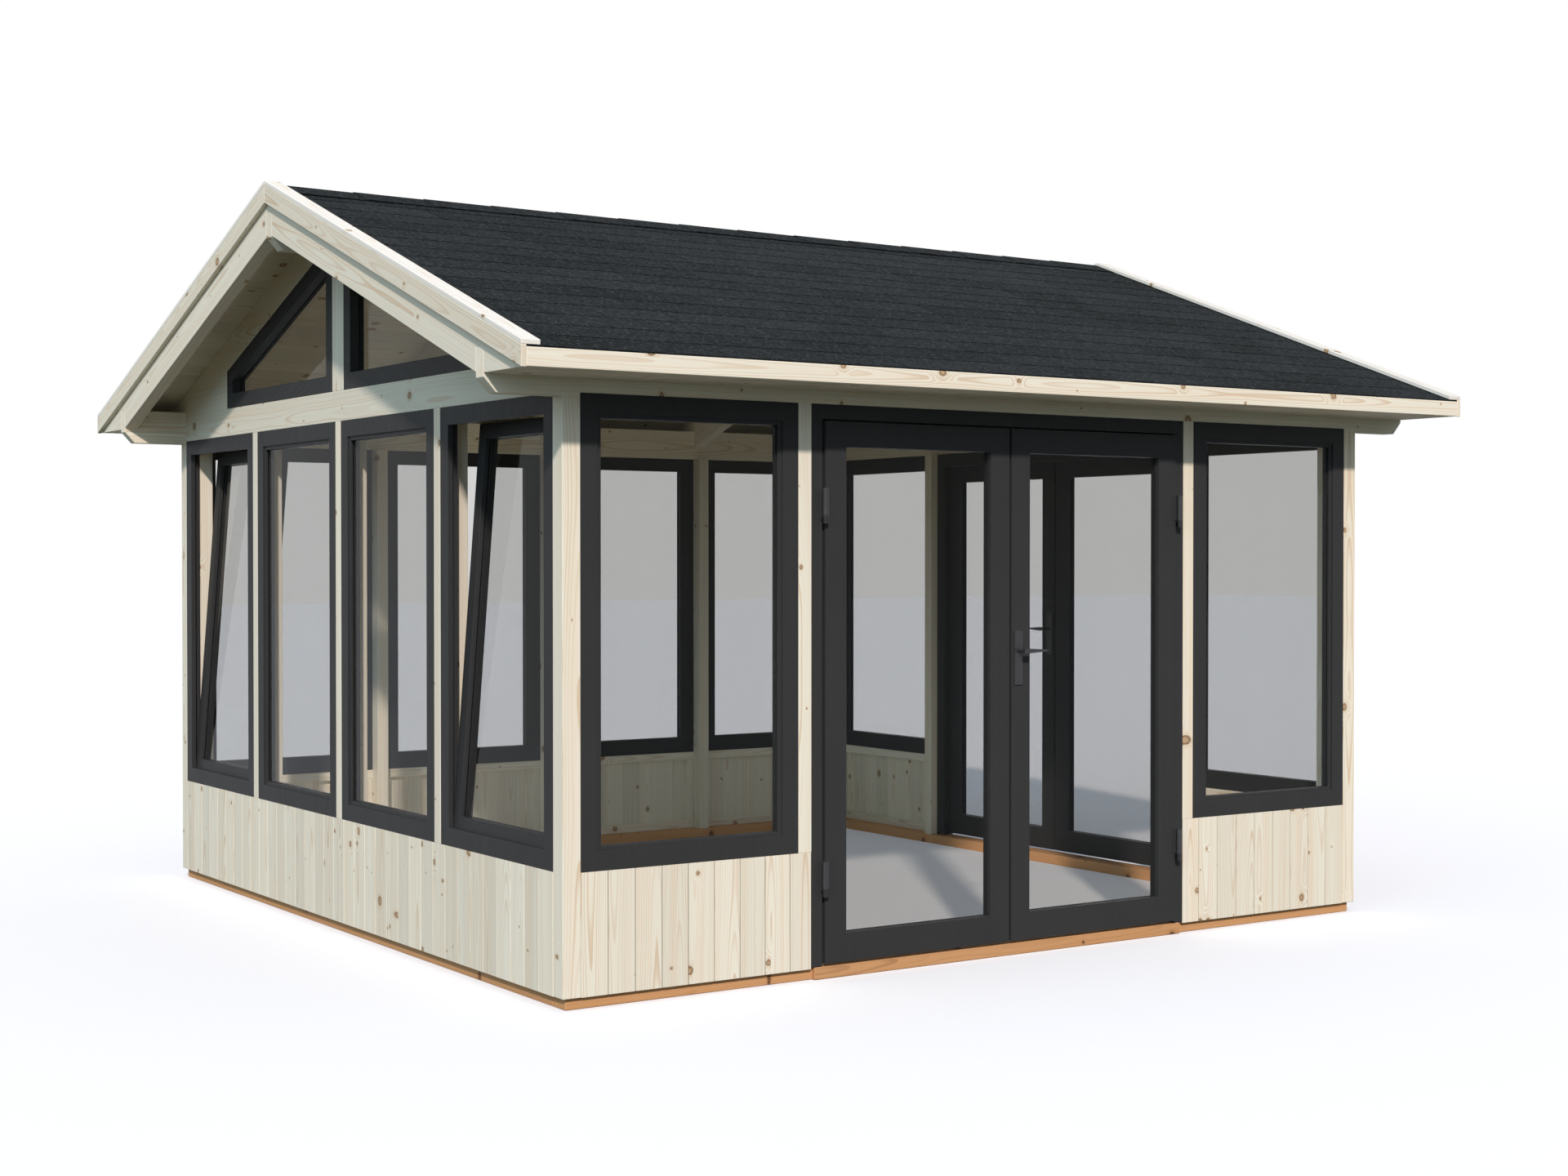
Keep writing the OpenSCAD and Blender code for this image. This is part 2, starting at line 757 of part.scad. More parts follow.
// Boards on the verge rafters' outer faces
module bargeboards() {
    color(timber)
        both_gables()
            both_slopes()
                along_x(roof_x, trim_t)
                    slope_strip(cover_apex - barge_d * plumb, cover_apex, joint_gap / 2, eave_run + trim_t);
}

// Flat battens that cover the bargeboards and the edge of the shingles
module verge_battens() {
    color(timber)
        both_gables()
            both_slopes()
                along_x(roof_x + trim_t - verge_w, verge_w)
                    slope_strip(batten_apex, batten_apex + verge_t * plumb, joint_gap / 2, eave_run + trim_t);
}

// The shingle layer of one slope
module shingle_layer() {
    color(roofing)
        along_x(-roof_x, 2 * roof_x)
            slope_strip(shingle_apex, cover_apex, joint_gap / 2, eave_run + trim_t);
}

module back_shingles() shingle_layer();
module front_shingles() mirror([0, 1, 0]) shingle_layer();

// Strip of shingles bent over the ridge between the verge battens
module ridge_cap() {
    x1 = roof_x + trim_t - verge_w;
    cap_v = shingle_t * plumb;
    edge_z = batten_apex - cap_w * rise;
    color(roofing)
        along_x(-x1, 2 * x1)
            polygon([[0, batten_apex], [cap_w, edge_z], [cap_w, edge_z + cap_v], [0, batten_apex + cap_v],
                [-cap_w, edge_z + cap_v], [-cap_w, edge_z]]);
}

eaves_sills();
gable_sills();
thresholds();
corner_posts();
wall_posts();
wall_cladding();
bay_battens();
front_windows();
side_windows();
back_windows();
left_windows();
tilting_sashes();
front_panes();
side_panes();
back_panes();
left_panes();
front_door_frame();
side_door_frame();
frame_hinges();
front_left_leaf();
front_right_leaf();
side_left_leaf();
side_right_leaf();
front_left_glass();
front_right_glass();
side_left_glass();
side_right_glass();
front_left_hinges();
front_right_hinges();
side_left_hinges();
side_right_hinges();
front_handle_plates();
side_handle_plates();
front_lever();
side_lever();
wall_plates();
gable_beams();
gable_posts();
gable_infill();
gable_lights();
gable_panes();
ridge_beam();
rafters();
barge_rafters();
roof_boards();
soffit_boards();
fascias();
bargeboards();
verge_battens();
front_shingles();
back_shingles();
ridge_cap();
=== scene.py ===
import math
import random

import bmesh
import bpy
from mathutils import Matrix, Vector


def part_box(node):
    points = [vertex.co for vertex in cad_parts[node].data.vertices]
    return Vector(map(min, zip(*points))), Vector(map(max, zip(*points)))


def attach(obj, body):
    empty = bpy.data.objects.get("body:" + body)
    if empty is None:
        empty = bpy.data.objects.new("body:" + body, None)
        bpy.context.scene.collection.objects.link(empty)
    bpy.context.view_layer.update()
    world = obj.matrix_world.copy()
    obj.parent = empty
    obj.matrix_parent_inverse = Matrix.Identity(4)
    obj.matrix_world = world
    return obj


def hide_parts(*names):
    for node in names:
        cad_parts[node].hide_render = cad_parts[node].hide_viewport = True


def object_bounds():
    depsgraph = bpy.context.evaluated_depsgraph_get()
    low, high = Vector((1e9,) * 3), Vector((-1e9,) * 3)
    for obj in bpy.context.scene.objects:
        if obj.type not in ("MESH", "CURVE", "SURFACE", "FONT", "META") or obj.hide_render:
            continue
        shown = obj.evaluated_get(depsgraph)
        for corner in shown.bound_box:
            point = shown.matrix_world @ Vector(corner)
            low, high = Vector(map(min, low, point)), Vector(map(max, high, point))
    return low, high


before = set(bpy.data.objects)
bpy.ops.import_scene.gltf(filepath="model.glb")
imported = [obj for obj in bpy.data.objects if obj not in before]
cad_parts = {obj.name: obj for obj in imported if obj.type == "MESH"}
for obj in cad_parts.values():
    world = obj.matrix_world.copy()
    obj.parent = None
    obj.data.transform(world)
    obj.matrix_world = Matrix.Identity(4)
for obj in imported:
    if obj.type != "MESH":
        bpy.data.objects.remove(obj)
cad_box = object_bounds()

# Directions and the slope of the roof

X_WAY = Vector((1, 0, 0))
Y_WAY = Vector((0, 1, 0))
UP = Vector((0, 0, 1))
PITCH = math.radians(20)
RISE = math.tan(PITCH)
PLUMB = 1 / math.cos(PITCH)

# Boards, in metres

BOARD_W = 0.1015          # cover width of the wall boards
ROOF_BOARD_W = 0.0937     # cover width of the roof boards
ROOF_BOARD_THICK = 0.019
SOFFIT_COUNT = 3          # boards under each eave
BOARD_LEAST = 0.006       # narrowest strip of board that is laid
FROM_CORNER = 0.25        # panels centred beyond this are laid from their high end
CHAMFER = 0.0018          # edge chamfer of tongued boards
ROOF_CHAMFER = 1.4 * CHAMFER
JOINT = 0.0010            # half of the open joint between two wall boards
TONGUE_AT = 0.006         # depth of that joint, down to the tongue
EASED = 0.0015            # eased edge of planed timber
EASED_BEAM = 0.002        # eased edge of the foundation beams

# Meshes of the CAD nodes, whose triangles are joined to whole faces again

WELD = 1e-6               # corners this close are one
FLAT = math.radians(0.3)  # faces this close in angle are one
SHARP = math.radians(25)  # edges sharper than this are eased

# Shingles, in metres

RIDGE_GAP = 0.0003        # from the ridge line to each slope's boards and felt
FELT_THICK = 0.006        # room for the bed and its tabs
FELT_BASE = 0.0024        # thickness of the bed
TAB_EXPOSURE = 0.148      # length of a tab that shows
TAB_LAP = 0.012           # length of a tab under the next course
TAB_MIN = 0.17            # narrowest and widest tab
TAB_MAX = 0.42
TAB_GAP = 0.003           # between two tabs
TAB_LEAST = 0.01          # narrowest rest of a tab at a verge
TAB_DROP = 0.004          # most that a tab ends short of its course
TAB_BUTT = 0.0027         # thickness of a tab's lower edge
TAB_TOP = 0.0004          # thickness of its upper edge
TAB_ROUND = 0.0012        # rounding of the lower edge
COURSE_LEAST = 0.03       # shortest course, at the ridge
CAP_EXPOSURE = 0.30       # length of a ridge cap that shows
CAP_LAP = 0.012
CAP_THICK = 0.0022
CAP_ROOM = 0.006          # room for the caps over the shingles
CAP_SEAT = 0.0002         # between a cap and what it lies on

# Tones from 0 to 1, and random draws

BED_TONE = 0.1
CAP_TONE = 0.6            # palest ridge cap
TONE_KEPT = 0.25          # share of its neighbour's tone in a tab's own
SEED = 20
TIMBER_SEED = 100
BEAM_SEED = 200
FRAME_SEED = 300
LEAF_SEED = 400

# Wood as it is cut from a log, in metres

LOG_SHIFT = 40            # farthest shift along the log, so that no two boards match
HEART_NEAR = 0.030        # nearest and farthest heart of the log from a board's wide face
HEART_FAR = 0.085
HEART_ASIDE = 0.38        # farthest heart from a board's middle, as a share of its width
RING = 0.0040             # mean spacing of growth rings
RING_WANDER = 0.038       # how far the rings leave a true circle
RING_BEND = 0.9           # how far they bend round a knot, as a share of its size
LOG_TAPER = 0.004         # loss of radius per metre of a log
KNOTS_ALONG = 2.6         # knot cells per metre of a log
KNOTS_ROUND = 1.05        # knot cells per radian round it
KNOT_NONE = 0.40          # share of the cells that hold no knot
KNOT_LEAST = 0.0024       # radius of the smallest knot
KNOT_SIZE = 0.012         # what the largest knot has on top of that
KNOT_RARITY = 2.6         # power that makes large knots rarer than small ones
KNOT_WIDTH = 0.8          # width of a knot as a share of its length along the grain
KNOT_ROUGH = 0.0012       # unevenness of a knot's edge

# Colours, as linear red, green and blue

FELT_TABS = ((0.0050, 0.0065, 0.0075), (0.0265, 0.0320, 0.0345))     # darkest and palest tab
FELT_FIELD = (0.026, 0.032, 0.035)
FELT_CLOUD = (0.0135, 0.0160, 0.0170)
FELT_WORN = (0.066, 0.075, 0.079)
FELT_HOLLOW = (0.004, 0.005, 0.0055)
GRIT_PALE = (0.052, 0.060, 0.064)
GRIT_DARK = (0.006, 0.007, 0.0075)
MIRROR_TINT = (0.95, 0.97, 1.0)       # what the panes mirror
FLOOR_BOUNCE = (0.05, 0.052, 0.032)   # what the ground throws back outside the part
SLAB_BOUNCE = (0.92, 0.90, 0.78)      # and inside it
FLOOR_SEEN = (0.93, 0.93, 0.93)       # the ground as the camera sees it outside the part
SLAB_SEEN_SHADED = (0.62, 0.62, 0.60)        # and inside it, darker: painted shade under the roof
FLOOR_LIFT = (0.16, 0.17, 0.20)       # glow that the camera sees on top of both
DAYLIGHT = (0.80, 0.89, 1.0)

# Glass, light and camera

MIRROR_FACE_ON = 0.006    # share of the light that a pane mirrors when seen square on
MIRROR_GRAZING = 0.5      # what that gains at the lowest angle
DAYLIGHT_STRENGTH = 0.52
SUN = dict(toward=Vector((-0.437, -0.725, 0.533)), strength=2.76, colour=(1.0, 0.885, 0.82), spread=2.5)
SKY_LEFT = dict(toward=Vector((-0.86, -0.36, 0.28)), strength=0.62, colour=(0.50, 0.84, 1.0), spread=60)
SLAB_REACH = 1.80         # half the side of the square of ground inside the part
GROUND_REACH = 60
GROUND_DROP = 0.0005      # the ground lies this far under the part
CAMERA_AT = Vector((-5.185, -8.114, 1.451))
CAMERA_LOOK = Vector((0.55597, 0.83110, -0.01294))
CAMERA_LENS = 50.88
CAMERA_SENSOR = 36
CAMERA_REACH = 200

# Materials


class Shading:
    """A material's node tree with short calls for the nodes that the materials here use."""

    def __init__(self, name):
        self.mat = bpy.data.materials.new(name)
        self.mat.use_nodes = True
        self.tree = self.mat.node_tree
        self.tree.nodes.clear()
        self.out = self.add("ShaderNodeOutputMaterial")

    def add(self, kind, **props):
        node = self.tree.nodes.new(kind)
        for key, value in props.items():
            setattr(node, key, value)
        return node

    def put(self, socket, value):
        if isinstance(value, bpy.types.NodeSocket):
            self.tree.links.new(value, socket)
        else:
            socket.default_value = value

    def tint(self, socket, colour):
        self.put(socket, colour if isinstance(colour, bpy.types.NodeSocket) else (*colour, 1))

    def math(self, operation, a, b=0.0, clamp=False):
        node = self.add("ShaderNodeMath", operation=operation, use_clamp=clamp)
        self.put(node.inputs[0], a)
        self.put(node.inputs[1], b)
        return node.outputs[0]

    def plus(self, a, b, clamp=False):
        return self.math("ADD", a, b, clamp)

    def minus(self, a, b):
        return self.math("SUBTRACT", a, b)

    def times(self, a, b):
        return self.math("MULTIPLY", a, b)

    def hypotenuse(self, a, b):
        return self.math("SQRT", self.plus(self.times(a, a), self.times(b, b)))

    def attribute(self, name):
        return self.add("ShaderNodeAttribute", attribute_name=name).outputs

    def split(self, vector):
        node = self.add("ShaderNodeSeparateXYZ")
        self.put(node.inputs[0], vector)
        return node.outputs

    def channels(self, colour):
        node = self.add("ShaderNodeSeparateColor")
        self.put(node.inputs[0], colour)
        return node.outputs

    def join(self, x, y, z=0.0):
        node = self.add("ShaderNodeCombineXYZ")
        for socket, value in zip(node.inputs, (x, y, z)):
            self.put(socket, value)
        return node.outputs[0]

    def stretch(self, vector, scales):
        node = self.add("ShaderNodeVectorMath", operation="MULTIPLY")
        self.put(node.inputs[0], vector)
        node.inputs[1].default_value = scales
        return node.outputs[0]

    def noise(self, vector, scale=1.0, detail=2.0, roughness=0.5):
        node = self.add("ShaderNodeTexNoise")
        self.put(node.inputs["Vector"], vector)
        node.inputs["Scale"].default_value = scale
        node.inputs["Detail"].default_value = detail
        node.inputs["Roughness"].default_value = roughness
        return node.outputs["Fac"]

    def cells(self, vector, scale=1.0, dimensions="3D"):
        """Random cells: the node's outputs Distance, Color and Position."""
        node = self.add("ShaderNodeTexVoronoi", voronoi_dimensions=dimensions)
        self.put(node.inputs["Vector"], vector)
        node.inputs["Scale"].default_value = scale
        return node.outputs

    def fit(self, value, low, high, to_low=0.0, to_high=1.0, smooth=True):
        """Maps low..high to to_low..to_high and holds the ends; low may be the larger one."""
        kind = "SMOOTHSTEP" if smooth else "LINEAR"
        node = self.add("ShaderNodeMapRange", interpolation_type=kind)
        self.put(node.inputs["Value"], value)
        node.inputs["From Min"].default_value = low
        node.inputs["From Max"].default_value = high
        node.inputs["To Min"].default_value = to_low
        node.inputs["To Max"].default_value = to_high
        return node.outputs[0]

    def mix(self, factor, a, b, blend="MIX"):
        # The node's colours are its inputs 6 and 7 and its output 2
        node = self.add("ShaderNodeMix", data_type="RGBA", blend_type=blend)
        self.put(node.inputs["Factor"], factor)
        self.tint(node.inputs[6], a)
        self.tint(node.inputs[7], b)
        return node.outputs[2]

    def bump(self, height, strength, distance):
        node = self.add("ShaderNodeBump")
        self.put(node.inputs["Height"], height)
        node.inputs["Strength"].default_value = strength
        node.inputs["Distance"].default_value = distance
        return node.outputs[0]

    def surface(self, colour, roughness, normal, specular):
        shader = self.add("ShaderNodeBsdfPrincipled")
        self.tint(shader.inputs["Base Color"], colour)
        self.put(shader.inputs["Roughness"], roughness)
        self.put(shader.inputs["Normal"], normal)
        shader.inputs["Specular IOR Level"].default_value = specular
        self.put(self.out.inputs["Surface"], shader.outputs[0])
        return self.mat


def knots(s, grain, along, angle, radius):
    """Knots that point out from a log's heart: core, dark outline, halo, and their pull on the rings."""
    spot = s.join(s.times(along, KNOTS_ALONG), s.times(angle, KNOTS_ROUND))
    cell = s.cells(spot, dimensions="2D")
    centre = s.split(cell["Position"])
    chance = s.channels(cell["Color"])[0]
    off_along = s.times(s.minus(along, s.math("DIVIDE", centre[0], KNOTS_ALONG)), KNOT_WIDTH)
    off_round = s.times(radius, s.minus(angle, s.math("DIVIDE", centre[1], KNOTS_ROUND)))
    reach = s.hypotenuse(off_along, off_round)
    size = s.math("POWER", s.fit(chance, KNOT_NONE, 1.0, smooth=False), KNOT_RARITY)
    # Cells without a knot get a size well below zero
    least = s.fit(chance, KNOT_NONE, KNOT_NONE + 0.01, -0.05, KNOT_LEAST, smooth=False)
    size = s.plus(s.times(size, KNOT_SIZE), least)
    rough = s.fit(s.noise(grain, scale=230.0, detail=1.0), 0.3, 0.7, -KNOT_ROUGH, KNOT_ROUGH)
    ratio = s.math("DIVIDE", s.plus(reach, rough), s.math("MAXIMUM", size, 0.0005))
    there = s.math("GREATER_THAN", size, 0.0)
    core = s.times(s.fit(ratio, 1.05, 0.80), there)
    outline = s.times(s.times(s.fit(ratio, 0.45, 0.88), s.fit(ratio, 1.22, 0.92)), there)
    halo = s.times(s.fit(ratio, 2.6, 0.9), there)
    pull = s.times(s.times(s.fit(ratio, 5.0, 0.6), there), size)
    return core, outline, halo, pull


def late_wood(s, grain, along, radius, pull):
    """The dark line of each growth ring, from 0 to 1, stronger in some years than in others."""
    wander = s.noise(s.stretch(grain, (1.1, 5.0, 5.0)), detail=2.0, roughness=0.3)
    depth = s.plus(radius, s.times(wander, RING_WANDER))
    depth = s.plus(depth, s.times(along, LOG_TAPER))
    depth = s.plus(depth, s.times(pull, RING_BEND))
    year = s.math("DIVIDE", depth, RING)
    ring = s.math("FRACT", year)
    late = s.times(s.fit(ring, 0.50, 0.90), s.fit(ring, 1.0, 0.94))
    spot = s.join(s.times(s.math("FLOOR", year), 0.73), 0.5)
    return s.times(late, s.fit(s.noise(spot, detail=0.0), 0.35, 0.65, 0.25, 1.0))


def wood(name, pale, blush, line, knot, rim, line_depth):
    """Planed softwood, cut from a log: pale to blush, with growth lines round its heart and knots."""
    s = Shading(name)
    grain = s.attribute("grain")["Vector"]
    tone = s.attribute("tone")["Fac"]
    along, side, up = s.split(grain)
    radius = s.hypotenuse(side, up)
    angle = s.math("ARCTAN2", side, up)
    core, outline, halo, pull = knots(s, grain, along, angle, radius)
    late = late_wood(s, grain, along, radius, pull)
    fibre = s.noise(s.stretch(grain, (3.5, 260.0, 260.0)), detail=3.0, roughness=0.62)
    streak = s.noise(s.stretch(grain, (0.35, 26.0, 26.0)), detail=3.0, roughness=0.6)
    fleck = s.noise(s.stretch(grain, (16.0, 420.0, 420.0)), detail=1.0)
    cracks = s.fit(s.noise(grain, scale=420.0, detail=2.0), 0.45, 0.65)

    colour = s.mix(s.fit(streak, 0.42, 0.70, 0.0, 0.60), pale, blush)
    colour = s.mix(s.times(late, line_depth), colour, line)
    colour = s.mix(s.fit(fibre, 0.38, 0.76, 0.0, 0.10), colour, line)
    colour = s.mix(s.fit(fleck, 0.70, 0.80, 0.0, 0.35), colour, line)
    colour = s.mix(s.times(halo, 0.40), colour, line)
    colour = s.mix(core, colour, s.mix(s.times(cracks, 0.5), knot, rim))
    colour = s.mix(s.times(outline, 0.8), colour, rim)
    # From 0 to 1 the tone is the board's own, and below 0 it is painted shade in a joint
    own = s.fit(tone, 0.0, 1.0, 0.92, 1.06, smooth=False)
    joint_shade = s.fit(tone, -1.0, 0.0, 0.22, 1.0, smooth=False)
    shade = s.times(own, joint_shade)
    colour = s.mix(1.0, colour, s.join(shade, shade, shade), blend="MULTIPLY")

    height = s.plus(s.times(fibre, 0.6), s.times(late, -0.4))
    height = s.minus(height, s.times(outline, 0.5))
    rough = s.fit(fibre, 0.3, 0.8, 0.60, 0.76)
    return s.surface(colour, rough, s.bump(height, 0.35, 0.0005), specular=0.12)


def painted(name, colour, dust_and_shade, worn):
    """Satin paint on planed wood: the grain stands through the film a little, with a few scuffs."""
    s = Shading(name)
    place = s.attribute("grain")["Vector"]
    fibre = s.noise(s.stretch(place, (4.0, 180.0, 180.0)), detail=3.0, roughness=0.55)
    brushed = s.noise(s.stretch(place, (1.2, 60.0, 60.0)), detail=2.0)
    cloud = s.noise(place, scale=4.0, detail=3.0)
    scuff = s.noise(s.stretch(place, (26.0, 70.0, 70.0)), detail=4.0, roughness=0.7)
    paint = s.mix(s.fit(cloud, 0.35, 0.75, 0.0, 0.35), colour, dust_and_shade)
    paint = s.mix(s.fit(brushed, 0.42, 0.72, 0.0, 0.30), paint, dust_and_shade)
    paint = s.mix(s.fit(scuff, 0.66, 0.80, 0.0, 0.45), paint, worn)
    rough = s.plus(s.fit(fibre, 0.3, 0.75, 0.42, 0.54), s.fit(scuff, 0.6, 0.8, 0.0, 0.12))
    height = s.plus(fibre, s.times(brushed, 0.5))
    return s.surface(paint, rough, s.bump(height, 0.14, 0.0004), specular=0.04)


def shingle_felt(name):
    """Granules on bitumen, with a tone for each tab and paler and darker fields over several tabs."""
    s = Shading(name)
    grain = s.attribute("grain")["Vector"]
    tone = s.attribute("tone")["Fac"]
    place = s.add("ShaderNodeTexCoord").outputs["Object"]
    grit = s.cells(grain, scale=420.0)
    pale_grit, dark_grit, _ = s.channels(grit["Color"])
    field = s.noise(place, scale=1.6, detail=3.0, roughness=0.6)
    cloud = s.noise(s.stretch(place, (7.0, 11.0, 11.0)), detail=4.0, roughness=0.65)
    speck = s.noise(s.stretch(grain, (70.0, 48.0, 48.0)), detail=4.0, roughness=0.85)
    base = s.mix(s.fit(tone, 0.0, 1.0, smooth=False), *FELT_TABS)
    base = s.mix(s.fit(field, 0.36, 0.66, 0.0, 0.45), base, FELT_FIELD)
    base = s.mix(s.fit(cloud, 0.40, 0.72, 0.0, 0.45), base, FELT_CLOUD)
    base = s.mix(s.fit(speck, 0.51, 0.64, 0.0, 0.80), base, FELT_WORN)
    base = s.mix(s.fit(speck, 0.49, 0.36, 0.0, 0.85), base, FELT_HOLLOW)
    base = s.mix(s.fit(pale_grit, 0.60, 1.0, 0.0, 0.40), base, GRIT_PALE)
    base = s.mix(s.fit(dark_grit, 0.55, 0.95, 0.0, 0.50), base, GRIT_DARK)
    height = s.plus(grit["Distance"], s.times(s.noise(grain, scale=160.0), 0.6))
    return s.surface(base, 0.95, s.bump(height, 0.6, 0.0011), specular=0.05)


def pane_glass(name, tint, passing):
    """Float glass as two thin faces: they tint what is behind, and the outer one mirrors at low angles."""
    s = Shading(name)
    facing = s.add("ShaderNodeLayerWeight")
    facing.inputs["Blend"].default_value = 0.5
    mirror = s.times(s.math("POWER", facing.outputs["Facing"], 5.0), MIRROR_GRAZING)
    mirror = s.plus(mirror, MIRROR_FACE_ON)
    ways = s.add("ShaderNodeLightPath").outputs
    lighting = s.plus(ways["Is Shadow Ray"], ways["Is Diffuse Ray"])
    lighting = s.plus(lighting, ways["Is Glossy Ray"], clamp=True)
    inner = s.add("ShaderNodeNewGeometry").outputs["Backfacing"]
    mirror = s.times(mirror, s.minus(1.0, s.plus(lighting, inner, clamp=True)))
    clear = s.add("ShaderNodeBsdfTransparent")
    s.put(clear.inputs["Color"], s.mix(lighting, tint, passing))
    gloss = s.add("ShaderNodeBsdfGlossy")
    gloss.inputs["Roughness"].default_value = 0.0
    gloss.inputs["Color"].default_value = (*MIRROR_TINT, 1)
    both = s.add("ShaderNodeMixShader")
    s.put(both.inputs[0], mirror)
    s.put(both.inputs[1], clear.outputs[0])
    s.put(both.inputs[2], gloss.outputs[0])
    s.put(s.out.inputs["Surface"], both.outputs[0])
    return s.mat


def coated_metal(name, colour, worn):
    """Powder-coated steel with a fine orange-peel surface and a little wear."""
    s = Shading(name)
    place = s.add("ShaderNodeTexCoord").outputs["Object"]
    peel = s.noise(place, scale=900.0, detail=2.0)
    wear = s.noise(place, scale=60.0, detail=4.0)
    coat = s.mix(s.fit(wear, 0.58, 0.8, 0.0, 0.4), colour, worn)
    rough = s.fit(wear, 0.3, 0.7, 0.32, 0.45)
    return s.surface(coat, rough, s.bump(peel, 0.15, 0.0003), specular=0.3)


SPRUCE_KNOT = dict(knot=(0.60, 0.42, 0.25), rim=(0.19, 0.11, 0.06))
BEAM_KNOT = dict(knot=(0.30, 0.14, 0.06), rim=(0.12, 0.055, 0.03))
SPRUCE = wood("spruce_wood", (0.91, 0.88, 0.75), (0.90, 0.79, 0.62), (0.68, 0.48, 0.30),
              **SPRUCE_KNOT, line_depth=0.60)
# Paler spruce for the verge battens: painted highlight of the sun on their tops
SUNLIT_BATTEN = wood("spruce_painted_sunlit", (0.90, 0.89, 0.84), (0.89, 0.86, 0.77), (0.74, 0.60, 0.44),
              **SPRUCE_KNOT, line_depth=0.40)
BEAM = wood("impregnated_wood", (0.73, 0.40, 0.19), (0.62, 0.32, 0.135), (0.38, 0.18, 0.08),
            **BEAM_KNOT, line_depth=0.55)
PAINT = painted("anthracite_paint", (0.0405, 0.0415, 0.0430), (0.048, 0.049, 0.0505),
                (0.074, 0.074, 0.074))
FELT = shingle_felt("shingle_felt")
GLASS = pane_glass("pane_glass", (0.803, 0.804, 0.800), (0.99, 0.99, 0.99))
GREY_METAL = coated_metal("anthracite_hardware", (0.036, 0.037, 0.040), (0.09, 0.09, 0.095))
BLACK_METAL = coated_metal("black_hardware", (0.012, 0.012, 0.013), (0.05, 0.05, 0.052))

# Meshes


class Timber:
    """A mesh of many boards, each with its own grain direction, grain offset and tone."""

    def __init__(self, name, seed):
        self.name = name
        self.bm = bmesh.new()
        self.grain = self.bm.verts.layers.float_vector.new("grain")
        self.tone = self.bm.verts.layers.float.new("tone")
        self.rng = random.Random(seed)

    def mark(self, verts, along, tone=None):
        """Gives the vertices of one board their place from the heart of its log, and its tone."""
        along = along.normalized()
        side = along.cross(UP if abs(along.z) < 0.9 else X_WAY).normalized()
        up = side.cross(along)
        shift = Vector((self.rng.uniform(-LOG_SHIFT, LOG_SHIFT), 0, 0))
        spans = []
        for i, axis in ((1, side), (2, up)):
            across = [v.co.dot(axis) for v in verts]
            shift[i] = -(min(across) + max(across)) / 2
            spans.append(max(across) - min(across))
        wide = 0 if spans[0] > spans[1] else 1
        aside = self.rng.uniform(-HEART_ASIDE, HEART_ASIDE)
        shift[1 + wide] += aside * min(spans[wide], BOARD_W)
        shift[2 - wide] += self.rng.choice((-1, 1)) * self.rng.uniform(HEART_NEAR, HEART_FAR)
        level = self.rng.random() if tone is None else tone
        for v in verts:
            v[self.grain] = Vector((v.co.dot(along), v.co.dot(side), v.co.dot(up))) + shift
            v[self.tone] = level

    def prism(self, section, start, along, length, across, deep, tone=None, dust_and_shade=()):
        """Extrudes a section of (across, deep) pairs; some corners can get a tone of their own, which
        paints shade into the joints.
        """
        ends = []
        for far in (0, length):
            ends.append([self.bm.verts.new(start + along * far + across * a + deep * d)
                         for a, d in section])
        self.bm.faces.new(ends[0][::-1])
        self.bm.faces.new(ends[1])
        for i in range(len(section)):
            j = (i + 1) % len(section)
            self.bm.faces.new((ends[0][i], ends[0][j], ends[1][j], ends[1][i]))
        self.mark(ends[0] + ends[1], along, tone)
        # Painted shade: corners that lie in a joint get a darker tone
        for i, level in dust_and_shade:
            for end in ends:
                end[i][self.tone] = level

    def finish(self, material, body, node):
        """Makes the piece, which stands for a CAD node."""
        bmesh.ops.recalc_face_normals(self.bm, faces=self.bm.faces)
        mesh = bpy.data.meshes.new(self.name)
        self.bm.to_mesh(mesh)
        self.bm.free()
        mesh.materials.append(material)
        piece = bpy.data.objects.new(self.name, mesh)
        bpy.context.scene.collection.objects.link(piece)
        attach(piece, body)
        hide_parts(node)


def islands(bm):
    """The loose parts of a mesh, as lists of vertices."""
    seen, parts = set(), []
    for first in bm.verts:
        if first in seen:
            continue
        part, queue = [], [first]
        seen.add(first)
        while queue:
            v = queue.pop()
            part.append(v)
            for e in v.link_edges:
                other = e.other_vert(v)
                if other not in seen:
                    seen.add(other)
                    queue.append(other)
        parts.append(part)
    return parts


def load_node(bm, node):
    """Adds a CAD node's mesh to bm with its flat faces whole again."""
    bm.from_mesh(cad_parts[node].data)
    bmesh.ops.remove_doubles(bm, verts=bm.verts, dist=WELD)
    bmesh.ops.dissolve_limit(bm, angle_limit=FLAT, verts=bm.verts, edges=bm.edges)


def solid_boxes(node):
    """Lowest and highest corners of each solid of a CAD node."""
    bm = bmesh.new()
    load_node(bm, node)
    boxes = []
    for part in islands(bm):
        boxes.append((Vector([min(v.co[i] for v in part) for i in range(3)]),
                      Vector([max(v.co[i] for v in part) for i in range(3)])))
    bm.free()
    return boxes


def downhill(side):
    """The direction down the front slope (side -1) or the back slope (side 1)."""
    return Vector((0, side * math.cos(PITCH), -math.sin(PITCH)))


def off_slope(side):
    """The direction square out of that slope."""
    return Vector((0, side * math.sin(PITCH), math.cos(PITCH)))


def slope_point(x, side, run, apex):
    """A point of the roof, run down the slope from the ridge line at height apex."""
    return Vector((x, side * run * math.cos(PITCH), apex - run * math.sin(PITCH)))


def grain_direction(part):
    """The direction in which a solid is longest, of the three axes and the two roof slopes."""

    def reach(direction):
        along = [v.co.dot(direction) for v in part]
        return max(along) - min(along)

    return max((X_WAY, Y_WAY, UP, downhill(1), downhill(-1)), key=reach)


